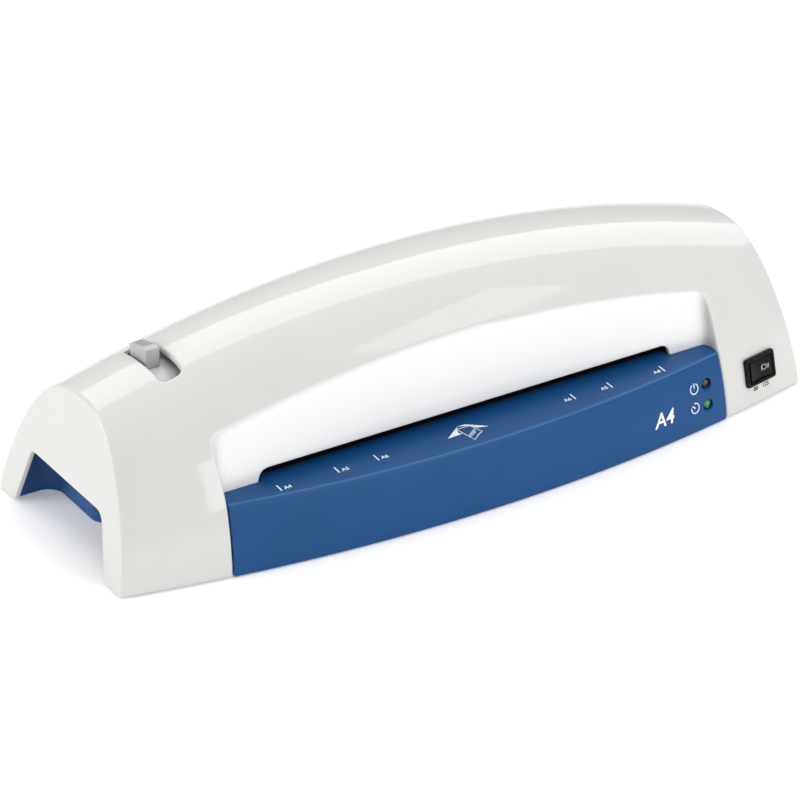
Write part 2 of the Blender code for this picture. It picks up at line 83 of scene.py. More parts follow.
# The hand-hold's wall: its inner end, and the y of its rear and front stretches, face then back
HAND_HOLD_X, HAND_HOLD_REAR, HAND_HOLD_FRONT = 171.3, (56.5, 59.0), (10.5, 12.9)
LEVER_X, PIVOT_Y, PIVOT_Z, SKIRT_R = -143.5, 1.0, 46.0, 37.2
SWITCH_X, SWITCH_Z, SWITCH_TURN, SWITCH_TILT = 164.2, 18.9, 11.8, -11.0
LED_X, LED_ZS = 128.0, {"ready": 12.4, "power": 23.1}
PADDLE_MIDDLE = 0.6
GLAND_X, GLAND_Z = -148.0, 18.0
INK = 0.06


# -------- shapes

def dome_size(x, z):
    """Height, front edge and rear edge of the shell's section that passes through x at height z."""
    lift = np.maximum(z - BASE_Z, 0.0)
    share = np.abs(x) / (HALF_LENGTH - END_DRAFT * lift)
    height = HEIGHT - HEIGHT_DROP * share**HEIGHT_POWER
    return height, FRONT_Y + FRONT_SWEEP * share**2, REAR_Y - REAR_SWEEP * share**2


def dome_level(p):
    """Below 0 inside the shell's curved surface and above 0 outside it."""
    x, y, z = p[:, 0], p[:, 1], p[:, 2]
    height, front, rear = dome_size(x, z)
    ahead = y < RIDGE_Y
    reach = np.where(ahead, RIDGE_Y - front, rear - RIDGE_Y)
    up = np.maximum(z - BASE_Z, 0.0) / height
    out = np.abs(y - RIDGE_Y) / reach
    rise = np.where(ahead, up ** FRONT_POWERS[0], up ** REAR_POWERS[0])
    return rise + np.where(ahead, out ** FRONT_POWERS[1], out ** REAR_POWERS[1]) - 1.0


def slope_of(field, p):
    step = 0.02
    columns = []
    for axis in range(3):
        move = np.zeros(3)
        move[axis] = step
        columns.append((field(p + move) - field(p - move)) / (2 * step))
    return np.stack(columns, 1)


def dome(p):
    """Distance from the shell's curved surface, in millimetres."""
    return dome_level(p) / np.linalg.norm(slope_of(dome_level, p), axis=1)


def end_planes(p):
    return (np.abs(p[:, 0]) - HALF_LENGTH + END_DRAFT * (p[:, 2] - BASE_Z)) / math.hypot(1, END_DRAFT)


def pocket_half(z):
    return POCKET_HALF + POCKET_SPLAY * np.maximum(SHELF_Z - z, 0.0)


def setback_share(z):
    t = np.clip((z - SETBACK_Z[0]) / (SETBACK_Z[1] - SETBACK_Z[0]), 0.0, 1.0)
    return t * t * (3 - 2 * t)


def wall_y(x, z):
    """Where the recess's rear wall stands."""
    out = (np.minimum(np.abs(x), CORNER_X) / CORNER_X) ** SETBACK_POWER
    return WALL_Y + WALL_SETBACK * setback_share(z) * out


def pocket_r(z):
    return POCKET_R + (TOP_CORNER_R - POCKET_R) * setback_share(z)


def outside_pocket(p):
    """Distance into the feed recess, seen in plan as a rectangle with round rear corners."""
    radius = pocket_r(p[:, 2])
    across = np.abs(p[:, 0]) - (pocket_half(p[:, 2]) - radius)
    along = p[:, 1] - (wall_y(p[:, 0], p[:, 2]) - radius)
    corner = np.hypot(np.maximum(across, 0), np.maximum(along, 0))
    return radius - corner - np.minimum(np.maximum(across, along), 0)


def shelf_z(y):
    return SHELF_Z + SHELF_SLOPE * (y - SHELF_REAR_Y)


def shelf_plane(p):
    return (p[:, 2] - shelf_z(p[:, 1])) / math.hypot(1, SHELF_SLOPE)


def rounded_meet(a, b, radius):
    """Two solids' overlap, with its outer edge rounded."""
    edge = np.hypot(np.maximum(a + radius, 0), np.maximum(b + radius, 0)) - radius
    return edge + np.minimum(np.maximum(a + radius, b + radius), 0)


def cover_field(p):
    front = rounded_meet(dome(p), outside_pocket(p), RECESS_EDGE_R)
    return rounded_meet(front, end_planes(p), END_EDGE_R)


def panel_field(p):
    return rounded_meet(dome(p), shelf_plane(p), CREASE_R)


def settle(p, field, level=0.0, rounds=10):
    """Moves points along the field's slope until they stand at the level."""
    for _ in range(rounds):
        slope = slope_of(field, p)
        move = slope * ((field(p) - level) / np.maximum((slope**2).sum(1), 1e-6))[:, None]
        length = np.linalg.norm(move, axis=1, keepdims=True)
        p = p - move * np.minimum(1.0, 1.5 / np.maximum(length, 1e-9))
    return p


def front_y(x, z):
    """How far forward the shell stands at x and height z."""
    height, front, _ = dome_size(x, z)
    up = np.clip((z - BASE_Z) / height, 0.0, 1.0)
    return RIDGE_Y + (front - RIDGE_Y) * (1 - up ** FRONT_POWERS[0]) ** (1 / FRONT_POWERS[1])


def top_z(x, y):
    """Height of the shell's top at x and y."""
    z = HEIGHT
    for _ in range(12):
        height, front, rear = dome_size(x, z)
        reach, powers = (RIDGE_Y - front, FRONT_POWERS) if y < RIDGE_Y else (rear - RIDGE_Y, REAR_POWERS)
        z = BASE_Z + height * max(1 - (abs(y - RIDGE_Y) / reach) ** powers[1], 0.0) ** (1 / powers[0])
    return z


def solve(f, low, high):
    """Where f crosses zero, between low, where it is above 0, and high."""
    for _ in range(48):
        middle = (low + high) / 2
        low, high = (middle, high) if f(middle) > 0 else (low, middle)
    return (low + high) / 2


def spread(length, count, near=(0,), far=(0,)):
    """Distances from 0 to length: near steps, count even ones, then far steps counted back from the end."""
    reach = near[-1] + far[-1]
    scale = min(1.0, 0.6 * length / reach) if reach else 1.0
    first = np.array(near) * scale
    last = length - np.array(far[::-1]) * scale
    return np.concatenate([first, np.linspace(first[-1], last[0], count + 1)[1:-1], last])


def resample(points, distances):
    """Points of a dense polyline at given distances along it."""
    lengths = np.linalg.norm(np.diff(points, axis=0), axis=1)
    run = np.concatenate([[0], np.cumsum(lengths)])
    return np.stack([np.interp(distances, run, points[:, k]) for k in range(points.shape[1])], 1)


def line_length(points):
    return np.linalg.norm(np.diff(points, axis=0), axis=1).sum()


def distance_to_line(points, line):
    """Distance of 2-D points from a polyline."""
    best = np.full(len(points), 1e9)
    for a, b in zip(line[:-1], line[1:]):
        span = b - a
        t = np.clip((points - a) @ span / max(span @ span, 1e-12), 0, 1)
        best = np.minimum(best, np.linalg.norm(points - a - t[:, None] * span, axis=1))
    return best


def circle(radius, count):
    turns = [2 * math.pi * i / count for i in range(count)]
    return [(radius * math.cos(a), radius * math.sin(a)) for a in turns]


def rounded(outline, radii, steps=6):
    """The outline with each corner that radii names, by its index, replaced by an arc."""
    points = []
    for i, corner in enumerate(outline):
        here = Vector(corner)
        if not radii.get(i):
            points.append(tuple(corner))
            continue
        back = (Vector(outline[i - 1]) - here).normalized()
        ahead = (Vector(outline[(i + 1) % len(outline)]) - here).normalized()
        half = back.angle(ahead) / 2
        centre = here + (back + ahead).normalized() * radii[i] / math.sin(half)
        first = here + back * radii[i] / math.tan(half) - centre
        last = here + ahead * radii[i] / math.tan(half) - centre
        for k in range(steps + 1):
            points.append(tuple(centre + first.slerp(last, k / steps).normalized() * radii[i]))
    return points


def sided(outline, side):
    return [(side * x, y) for x, y in outline]


def box_outline(half_u, half_v, radius, steps=5):
    corners = [(-half_u, -half_v), (half_u, -half_v), (half_u, half_v), (-half_u, half_v)]
    return rounded(corners, dict.fromkeys(range(4), radius), steps)


# -------- meshes

def mesh_object(name, points, faces, sharp=35, outward=True):
    """A mesh object from millimetre points, smooth over edges flatter than sharp degrees."""
    mesh = bpy.data.meshes.new(name)
    mesh.from_pydata((np.array(points, float) * MM).tolist(), [], [tuple(f) for f in faces])
    if outward:
        shape = bmesh.new()
        shape.from_mesh(mesh)
        bmesh.ops.recalc_face_normals(shape, faces=shape.faces)
        shape.to_mesh(mesh)
        shape.free()
    obj = bpy.data.objects.new(name, mesh)
    bpy.context.scene.collection.objects.link(obj)
    smooth(obj, sharp)
    return obj


def smooth(obj, sharp=35):
    obj.data.shade_smooth()
    obj.data.set_sharp_from_angle(angle=math.radians(sharp))


def loft(name, rings, closed=False, sharp=35):
    """A skin over equal rings of points, capped at both ends or, when closed, joined end to end."""
    size = len(rings[0])
    points = [p for ring in rings for p in ring]
    faces = []
    for row in range(len(rings) if closed else len(rings) - 1):
        low, high = row * size, (row + 1) % len(rings) * size
        faces += [(low + i, low + (i + 1) % size, high + (i + 1) % size, high + i) for i in range(size)]
    if not closed:
        faces += [tuple(range(size)), tuple(range(len(points) - size, len(points)))]
    return mesh_object(name, points, faces, sharp)


def prism(name, outline, axis, levels, sharp=35):
    """An outline across axis, its two numbers in X, Y, Z order, carried through the levels."""
    k = "XYZ".index(axis)
    return loft(name, [[(*p[:k], level, *p[k:]) for p in outline] for level in levels], sharp=sharp)


def lathe(name, profile, axis="X", at=(0, 0, 0), sides=48):
    """A profile of (distance along axis, radius) points turned about the axis through at."""
    k = "XYZ".index(axis)
    rings = []
    for along, radius in profile:
        ring = [(*p[:k], along, *p[k:]) for p in circle(radius, sides)]
        rings.append([tuple(a + b for a, b in zip(p, at)) for p in ring])
    return loft(name, rings)


def apply_modifiers(obj):
    bpy.context.view_layer.update()
    depsgraph = bpy.context.evaluated_depsgraph_get()
    mesh = bpy.data.meshes.new_from_object(obj.evaluated_get(depsgraph))
    obj.modifiers.clear()
    obj.data = mesh
    return obj


def combine(obj, others, operation="DIFFERENCE", sharp=35):
    """Cuts the other shapes out of obj, or joins them to it, and removes them."""
    for other in others:
        modifier = obj.modifiers.new("combine", "BOOLEAN")
        modifier.operation, modifier.solver, modifier.object = operation, "EXACT", other
    apply_modifiers(obj)
    for other in others:
        bpy.data.objects.remove(other, do_unlink=True)
    smooth(obj, sharp)
    return obj


def bevel(obj, width, segments=3, angle=35):
    modifier = obj.modifiers.new("bevel", "BEVEL")
    modifier.width, modifier.segments = width * MM, segments
    modifier.limit_method, modifier.angle_limit = "ANGLE", math.radians(angle)
    apply_modifiers(obj)
    smooth(obj)
    return obj


def join(name, objects):
    """Several separate closed meshes as one piece."""
    shape = bmesh.new()
    for obj in objects:
        part = obj.data.copy()
        part.transform(obj.matrix_world)
        shape.from_mesh(part)
        bpy.data.objects.remove(obj, do_unlink=True)
    mesh = bpy.data.meshes.new(name)
    shape.to_mesh(mesh)
    shape.free()
    obj = bpy.data.objects.new(name, mesh)
    bpy.context.scene.collection.objects.link(obj)
    return obj


def weld(grids):
    """Joins grids of points, rows by columns, where they meet. Gives the points and outward faces."""
    shape = bmesh.new()
    for grid in grids:
        rows, columns = grid.shape[:2]
        verts = [shape.verts.new(p) for p in grid.reshape(-1, 3)]
        for r in range(rows - 1):
            for c in range(columns - 1):
                i = r * columns + c
                shape.faces.new([verts[j] for j in (i, i + 1, i + columns + 1, i + columns)])
    bmesh.ops.remove_doubles(shape, verts=shape.verts, dist=0.012)
    bmesh.ops.dissolve_degenerate(shape, edges=shape.edges, dist=0.01)
    bmesh.ops.recalc_face_normals(shape, faces=shape.faces)
    shape.faces.ensure_lookup_table()
    # A flat face near the top has to face up
    highest = max(shape.faces, key=lambda f: f.calc_center_median().z - 10 * (abs(f.normal.z) < 0.5))
    if highest.normal.z < 0:
        bmesh.ops.reverse_faces(shape, faces=shape.faces)
    shape.verts.index_update()
    points = np.array([v.co for v in shape.verts])
    faces = [tuple(v.index for v in f.verts) for f in shape.faces]
    shape.free()
    return points, faces


def shell_object(name, faces, outer, inner):
    """A closed wall between an outer and an inner skin of the same faces."""
    count = len(outer)
    edges = {(f[i - 1], f[i]) for f in faces for i in range(len(f))}
    rims = [(b, a, a + count, b + count) for a, b in sorted(edges) if (b, a) not in edges]
    inside = [tuple(i + count for i in reversed(f)) for f in faces]
    return mesh_object(name, np.concatenate([outer, inner]), faces + inside + rims, 40, outward=False)


def round_rim(outer, inner, distance, radius=RIM_R):
    """Sinks the outer skin towards the inner one near an opening, along a quarter circle."""
    into = np.clip(radius - distance, 0, radius)
    depth = radius - np.sqrt(radius**2 - into**2)
    return outer + (inner - outer) * (depth / THICKNESS)[:, None]


# -------- cover

def plan_point(run, z):
    """A point of the recess's plan outline, run millimetres from CORNER_X round the corner and forward."""
    radius = float(pocket_r(z))
    end_y = float(wall_y(CORNER_X, z))
    straight = pocket_half(z) - radius - CORNER_X
    turn = (run - straight) / radius
    if turn < 0:
        return CORNER_X + run, end_y
    if turn < math.pi / 2:
        centre = pocket_half(z) - radius, end_y - radius
        return centre[0] + radius * math.sin(turn), centre[1] + radius * math.cos(turn)
    return pocket_half(z), end_y - radius - (turn - math.pi / 2) * radius


def edge_run(z):
    """Where the recess's side meets the shell's front at height z, as a run along the plan outline."""
    return solve(lambda run: plan_point(run, z)[1] - front_y(*plan_point(run, z)[:1], z), 0.0, 60.0)


def cutout_line():
    """The hand-hold's outline in the end face, from the front foot over to the rear foot."""
    line = rounded(CUTOUT, CUTOUT_RADII, 10)
    feet = []
    for near, low in ((line[1], CUTOUT[0]), (line[-2], CUTOUT[3])):
        share = (BASE_Z - low[1]) / (near[1] - low[1])
        feet.append((low[0] + share * (near[0] - low[0]), BASE_Z))
    return np.array([feet[0], *line[1:-1], feet[1]])


def half_grids():
    """The wing beside the recess, out to the end face's edge, and the recess's side wall, on the right."""
    corner_z = solve(lambda z: wall_y(CORNER_X, z) - front_y(CORNER_X, z), WALL_FOOT_Z, 95.0)
    upper = corner_z - spread(corner_z - WALL_FOOT_Z, 14, EDGE_STEPS, RIM_STEPS)
    rows = np.concatenate([upper, np.linspace(WALL_FOOT_Z, BASE_Z, 15)[1:]])
    wing, side = [], []
    for z in rows:
        run = edge_run(z) if z < corner_z - 1e-6 else 0.0
        x0 = plan_point(run, z)[0]
        x = x0 + spread(HALF_LENGTH - END_DRAFT * (z - BASE_Z) - x0, 22, EDGE_STEPS, END_STEPS)
        y = front_y(x, z)
        y[0] = plan_point(run, z)[1]
        wing.append(np.stack([x, y, np.full(len(x), z)], 1))
        side.append([(*plan_point(run - d, z), z) for d in spread(run, 12, EDGE_STEPS)])
    return np.array(wing), np.array(side)


def over_the_top(x, z):
    """A dense line over the shell from its front point at x and z to the foot of its rear."""
    share = x / (1 - END_DRAFT * (z - BASE_Z) / HALF_LENGTH)
    height, front, rear = dome_size(share, BASE_Z)
    first = math.acos(min(1.0, ((z - BASE_Z) / height) ** (FRONT_POWERS[0] / 2)))
    to_ridge = -first * np.linspace(1, 0, TOP_POINTS)
    to_foot = np.linspace(0, 1, TOP_POINTS) ** 1.4 * math.pi / 2
    line = []
    for turn in np.concatenate([to_ridge, to_foot[1:]]):
        reach, powers = (front - RIDGE_Y, FRONT_POWERS) if turn < 0 else (rear - RIDGE_Y, REAR_POWERS)
        lift = height * max(math.cos(turn), 0.0) ** (2 / powers[0])
        line.append((share * (1 - END_DRAFT * lift / HALF_LENGTH),
                     RIDGE_Y + reach * abs(math.sin(turn)) ** (2 / powers[1]), BASE_Z + lift))
    return np.array(line)


def wall_grid():
    """The recess's rear wall, from the slot's edge up to the arch where it meets the shell."""
    slot_end, outer = np.arange(109, 118.1, 0.5), np.linspace(118.5, CORNER_X, 7)
    right = np.concatenate([np.linspace(0, 108, 37)[1:], slot_end, outer])
    xs = np.concatenate([-right[::-1], [0.0], right])
    columns = []
    for x in xs:
        arch = solve(lambda z: wall_y(x, z) - front_y(x, z), WALL_FOOT_Z, 100.0)
        foot = np.interp(abs(x), *zip(*SLOT_TOP))
        z = arch - spread(arch - foot, 14, EDGE_STEPS, RIM_STEPS)
        columns.append(np.stack([np.full(len(z), x), wall_y(x, z), z], 1))
    return np.array(columns).swapaxes(0, 1)


def make_cover():
    """The white cover: its grids are welded, settled on the rounded shape, thickened and cut."""
    wing, side = half_grids()
    wall = wall_grid()
    flip = np.array([-1.0, 1.0, 1.0])
    front = np.concatenate([(wing[0] * flip)[::-1], wall[0][1:-1], wing[0]])
    over = []
    for x, _, z in front:
        line = over_the_top(x, z)
        over.append(resample(line, spread(line_length(line), 74, EDGE_STEPS)))
    over = np.array(over).swapaxes(0, 1)
    over[0] = front
    outline = np.concatenate([wing[::-1, -1], over[1:, -1]])
    inner = cutout_line()
    shares = np.concatenate([[0], np.cumsum(np.linalg.norm(np.diff(outline, axis=0), axis=1))])
    inner = resample(inner, shares / shares[-1] * line_length(inner))
    end = []
    for (_, y, z), (v, w) in zip(outline, inner):
        length = math.hypot(v - y, w - z)
        t = spread(length, 7, END_STEPS, RIM_STEPS)[:, None] / length
        p = np.array([y, z]) * (1 - t) + np.array([v, w]) * t
        end.append(np.stack([HALF_LENGTH - END_DRAFT * (p[:, 1] - BASE_Z), p[:, 0], p[:, 1]], 1))
    end = np.array(end)
    grids = [wall, over] + [g * f for g in (wing, side, end) for f in (np.ones(3), flip)]
    points, faces = weld(grids)

    outer = settle(points, cover_field)
    inner = settle(points, cover_field, -THICKNESS, 14)
    feet = points[:, 2] < BASE_Z + 0.01
    outer[feet, 2] = inner[feet, 2] = BASE_Z
    on_end = np.abs(end_planes(points)) < 0.01
    on_wall = np.abs(points[:, 1] - wall_y(points[:, 0], points[:, 2])) < 0.01
    on_wall &= np.abs(points[:, 0]) < 118
    rim = np.full(len(points), 1e3)
    rim[on_end] = distance_to_line(points[on_end][:, 1:], cutout_line())
    across = np.stack([np.abs(points[on_wall, 0]), points[on_wall, 2]], 1)
    rim[on_wall] = distance_to_line(across, np.array(SLOT_TOP[:-1]))
    cover = shell_object("cover_shell", faces, round_rim(outer, inner, rim), inner)
    cutters = [lever_slot_cutter(), exit_slot_cutter(), switch_hole_cutter(), gland_hole_cutter()]
    combine(cover, cutters, sharp=40)
    # Painted light: the recess's rear wall is painted brighter and its edge gets a painted highlight
    mark(cover, painted_recess_light)
    return cover


def mark(obj, share):
    """Stores how much of its painted light colour, a painted highlight or brightening, each point of obj
    takes, from a function of the points.
    """
    p = np.array([v.co for v in obj.data.vertices]) / MM
    amount = share(p)
    attribute = obj.data.attributes.new("painted_light_share", "FLOAT", "POINT")
    attribute.data.foreach_set("value", (amount * amount * (3 - 2 * amount)).astype(np.float32))


def painted_recess_light(p):
    """How much points take the painted light: the recess's rear wall, painted brighter than the shell, and a
    painted highlight along its edge.
    """
    lead = outside_pocket(p) - dome(p)
    wall = np.clip(0.5 + lead / RECESS_EDGE_R, 0, 1)
    wall *= np.clip((POCKET_HALF + 1 - np.abs(p[:, 0])) / 7, 0, 1)
    return wall * (p[:, 1] > WALL_Y - 5) * (p[:, 1] < -40)


def lever_slot_cutter():
    """The slot for the lever, with a rounded lip that follows the shell's top."""
    lip = 1.1
    centre, half_u, half_v = (LEVER_X, 0.3), 6.0, 18.7
    turns = [math.pi / 2 * k / 6 for k in range(7)]
    edge = [(-lip + lip * math.sin(a), lip * (1 - math.cos(a))) for a in turns]
    levels = [(-9.0, 0.0), *edge, (4.0, lip + 0.4)]
    base = rounded([(-half_u, -half_v), (half_u, -half_v), (half_u, half_v), (-half_u, half_v)],
                   {0: 4.0, 1: 4.0, 2: 1.2, 3: 1.2}, 6)
    dense = []
    for i, p in enumerate(base):
        q = base[(i + 1) % len(base)]
        count = max(1, round(math.dist(p, q) / 1.5))
        step = (q[0] - p[0], q[1] - p[1])
        dense += [(p[0] + step[0] * k / count, p[1] + step[1] * k / count) for k in range(count)]
    rings = []
    for drop, grow in levels:
        ring = []
        for u, v in dense:
            x = centre[0] + u * (1 + grow / half_u)
            y = centre[1] + v * (1 + grow / half_v)
            ring.append((x, y, top_z(x, y) + drop))
        rings.append(ring)
    return loft("lever_slot", rings)


def exit_slot_cutter():
    return prism("exit_slot", [(x, z + 39.3) for x, z in box_outline(114, 3.1, 2.6)], "Y", (52, 85))


def wing_place():
    """Turns the switch's own axes (across, into the wall, up) into the frame's."""
    turn = Matrix.Rotation(math.radians(SWITCH_TURN), 4, "Z")
    turn = turn @ Matrix.Rotation(math.radians(SWITCH_TILT), 4, "X")
    at = Vector((SWITCH_X, float(front_y(SWITCH_X, SWITCH_Z)), SWITCH_Z))
    return Matrix.Translation(at * MM) @ turn


def switch_hole_cutter():
    hole = prism("switch_hole", box_outline(9.9, 6.9, 1.0), "Y", (-12, 12))
    hole.data.transform(wing_place())
    return hole


def gland_hole_cutter():
    return lathe("gland_hole", [(50, 6.3), (90, 6.3)], "Y", (GLAND_X, 0, GLAND_Z), 32)


# -------- front panel

PANEL_GAP, PANEL_FOOT_Z, PANEL_CORNER_R = 0.18, 0.5, 1.2


def panel_half(y, z):
    """Half width of the front panel at a point of its section, with its round rear and lower corners."""
    half = pocket_half(z) - PANEL_GAP
    if y > WALL_Y - POCKET_R:
        reach = POCKET_R - PANEL_GAP
        half = CORNER_X + math.sqrt(reach**2 - (y - WALL_Y + POCKET_R) ** 2)
    low = max(PANEL_CORNER_R - (z - PANEL_FOOT_Z), 0.0)
    return half - PANEL_CORNER_R + math.sqrt(PANEL_CORNER_R**2 - low**2)


def make_panel():
    """The blue front panel: shelf, crease and front as one skin, and a tongue on into the slot."""
    widest = POCKET_HALF - PANEL_GAP
    half = (widest - spread(widest, 60, RIM_STEPS)) / widest
    shares = np.concatenate([-half[:-1], half[::-1]])
    columns = []
    for share in shares:
        crease = solve(lambda y: y - front_y(share * widest, shelf_z(y)), SHELF_REAR_Y, -90.0)
        shelf_run = SHELF_REAR_Y - crease
        ys = SHELF_REAR_Y - spread(shelf_run, 12, RIM_STEPS, EDGE_STEPS)
        zs = shelf_z(crease) - spread(shelf_z(crease) - PANEL_FOOT_Z, 18, EDGE_STEPS, RIM_STEPS)[1:]
        section = [(y, shelf_z(y)) for y in ys] + [(None, z) for z in zs]
        column = []
        for y, z in section:
            x = share * panel_half(-60.0 if y is None else y, z)
            column.append((x, float(front_y(x, z)) if y is None else y, z))
        columns.append(column)
    grid = np.array(columns).swapaxes(0, 1)
    points, faces = weld([grid])
    outer = settle(points, panel_field)
    inner = settle(points, panel_field, -THICKNESS, 14)
    foot = points[:, 2] < PANEL_FOOT_Z + 0.01
    outer[foot, 2] = inner[foot, 2] = PANEL_FOOT_Z
    rear = points[:, 1] > SHELF_REAR_Y - 0.01
    outer[rear, 1] = inner[rear, 1] = SHELF_REAR_Y
    halves = np.array([panel_half(y, z) for _, y, z in points])
    rim = np.minimum(halves - np.abs(points[:, 0]), points[:, 2] - PANEL_FOOT_Z)
    panel = shell_object("panel_shell", faces, round_rim(outer, inner, rim, 0.6), inner)
    holes = []
    for z in LED_ZS.values():
        face = float(front_y(LED_X, z))
        countersunk = [(face - 2, 4.9), (face + 0.35, 2.9), (face + 6, 2.9)]
        holes.append(lathe("led_hole", countersunk, "Y", (LED_X, 0, z), 40))
    combine(panel, holes)
    tongue = [(-49.2, shelf_z(-49.2) - 0.04), (-42.4, shelf_z(-42.4) - 0.04), (-42.2, shelf_z(-42.2) - 0.3)]
    tongue += [(-42.2, 34.6), (-49.2, 34.6)]
    panel = join("panel_shell", [panel, prism("tongue", tongue, "X", (-115.4, 115.4))])
    smooth(panel)
    # Painted highlight: a lighter blue line along the crease between shelf and front
    mark(panel, lambda p: np.clip(1 - np.abs(dome(p) - shelf_plane(p)) / 1.0, 0, 1) * (p[:, 1] < -50))
    return panel


# -------- base tray and feet

def make_tray():
    """The base tray, with the hand-holds' walls and roofs, vents and rooms for the frame's screws."""
    inset = THICKNESS + 0.7
    outline = []
    for x in np.linspace(-1, 1, 41) * (HALF_LENGTH - inset):
        outline.append((x, float(dome_size(x, BASE_Z)[1]) + inset))
    outline += [(x, float(dome_size(x, BASE_Z)[2]) - inset) for x, _ in reversed(outline)]
    tray = prism("tray_shell", outline, "Z", (BASE_Z, 4.0))
    (rear, rear_back), (front, front_back) = HAND_HOLD_REAR, HAND_HOLD_FRONT
    x0, x1 = HAND_HOLD_X, HALF_LENGTH - inset - 5.5
    back_x, far_x, low = x0 - 2.4, x0 - 14, BASE_Z + 0.2
    path = rounded([(x1, rear), (x0, rear), (x0, front), (far_x, front)], {1: 9.0, 2: 8.0}, 10)
    back = [(x1, rear_back), (back_x, rear_back), (back_x, front_back), (far_x, front_back)]
    band = path + rounded(back, {1: 11.4, 2: 5.6}, 10)[::-1]
    roof = [(x1 - 0.2, rear_back), (back_x, rear_back), (back_x, -31.0), (x1 - 0.2, -31.0)]
    roof = rounded(roof, {1: 11.4, 2: 4.0}, 10)
    void = [(210, rear), (x0, rear), (x0, front), (far_x, front), (far_x, -90), (210, -90)]
    void = rounded(void, {1: 9.0, 2: 8.0}, 10)
    corner = [(134.9, -80), (144, -80), (144, -44.4), (134.9, -44.4)]
    walls, cutters = [], []
    for side in (-1, 1):
        walls.append(prism("hand_hold_wall", sided(band, side), "Z", (low, 33.5)))
        for reach, high in ((2.0, 24.0), (4.0, 12.0)):
            strip = [(x1 - 2, rear), (x1 + reach, rear), (x1 + reach, rear_back), (x1 - 2, rear_back)]
            walls.append(prism("hand_hold_strip", sided(strip, side), "Z", (low, high)))
        walls.append(prism("hand_hold_roof", sided(roof, side), "Z", (32.8, 35.0)))
        cutters.append(prism("hand_hold_void", sided(void, side), "Z", (-5, 10)))
        cutters.append(prism("wing_room", sided(corner, side), "Z", (-5, 10)))
        for k in range(5):
            vent = [(side * (30 + 16 * k) + u, 2 + v) for u, v in box_outline(2, 12, 1.9)]
            cutters.append(prism("vent", vent, "Z", (-5, 10)))
        for y in (-24, 24):
            stepped = [(-5, 3.6), (2.9, 3.6), (2.91, 1.9), (10, 1.9)]
            cutters.append(lathe("screw_room", stepped, "Z", (side * 116, y, 0), 24))
    combine(tray, cutters)
    return combine(tray, walls, "UNION")


def make_foot(x, y, name):
    """A rubber foot with a rounded edge and a shallow dished underside."""
    profile = [(0.5, 0.05), (0.5, 4.6), (0.0, 5.2), (0.0, 6.6), (0.25, 7.2), (0.6, 7.5), (1.2, 7.6)]
    return lathe(name, profile, "Z", (x, y, 0), 40)


# -------- lever

def lever_arc(angle, radius):
    a = math.radians(angle)
    return PIVOT_Y + radius * math.sin(a), PIVOT_Z + radius * math.cos(a)


def make_skirt():
    """The curved skirt that closes the lever's slot, with its web and its hub on the shaft."""
    angles = [-38 + 2 * k for k in range(49)]
    outline = [lever_arc(a, SKIRT_R) for a in angles]
    outline += [lever_arc(a, SKIRT_R - 2) for a in reversed(angles)]
    skirt = bevel(prism("lever_skirt", outline, "X", (LEVER_X - 7.3, LEVER_X + 12.0)), 0.4)
    web_top = PIVOT_Z + SKIRT_R - 1.4
    web = [(PIVOT_Y - 5, 44), (PIVOT_Y + 5, 44), (PIVOT_Y + 9, web_top), (PIVOT_Y + 1, web_top)]
    hub = lathe("hub", [(-4.5, 6.1), (-4.1, 6.5), (4.1, 6.5), (4.5, 6.1)], "X", (LEVER_X, PIVOT_Y, PIVOT_Z))
    combine(skirt, [prism("web", web, "X", (LEVER_X - 2, LEVER_X + 2)), hub], "UNION")
    bore = lathe("bore", [(-12, 3.3), (12, 3.3)], "X", (LEVER_X, PIVOT_Y, PIVOT_Z))
    return combine(skirt, [bore])


def make_knob():
    """The lever's knob, wedge shaped, with grip grooves across its top."""
    ridge, nose = (0.3, 47.9), (12.9, 44.96)
    top = [(-2.9, 47.4), ridge, nose, (13.6, 44.2), (13.3, 40.4)]
    seat = [lever_arc(a, SKIRT_R + 0.3) for a in range(20, 3, -2)]
    heel = (PIVOT_Y - 2.3, lever_arc(-3.7, SKIRT_R + 0.3)[1])
    outline = [(PIVOT_Y + y, PIVOT_Z + z) for y, z in top] + seat + [heel]
    knob = bevel(prism("knob_cap", outline, "X", (LEVER_X - 4.8, LEVER_X + 2.6), 20), 0.35, 3, 25)
    slope = math.atan2(ridge[1] - nose[1], nose[0] - ridge[0])
    grooves = []
    for k in range(5):
        y = PIVOT_Y + 2.5 + 2.35 * k
        z = PIVOT_Z + ridge[1] - (y - PIVOT_Y - ridge[0]) * math.tan(slope)
        groove = prism("groove", box_outline(2.8, 0.5, 0.2, 3), "Z", (-1.8, 2.0))
        at = Matrix.Translation(Vector((LEVER_X - 1.1, y, z)) * MM)
        groove.data.transform(at @ Matrix.Rotation(-slope, 4, "X"))
        grooves.append(groove)
    return combine(knob, grooves, sharp=30)


# -------- switch, lights, gland

def paddle_depth(u):
    """Depth of the paddle's pressed half, which falls away to the right of PADDLE_MIDDLE."""
    return -1.2 - 0.95 * (1 - math.cos(math.pi / 2 * (u - PADDLE_MIDDLE) / 7))


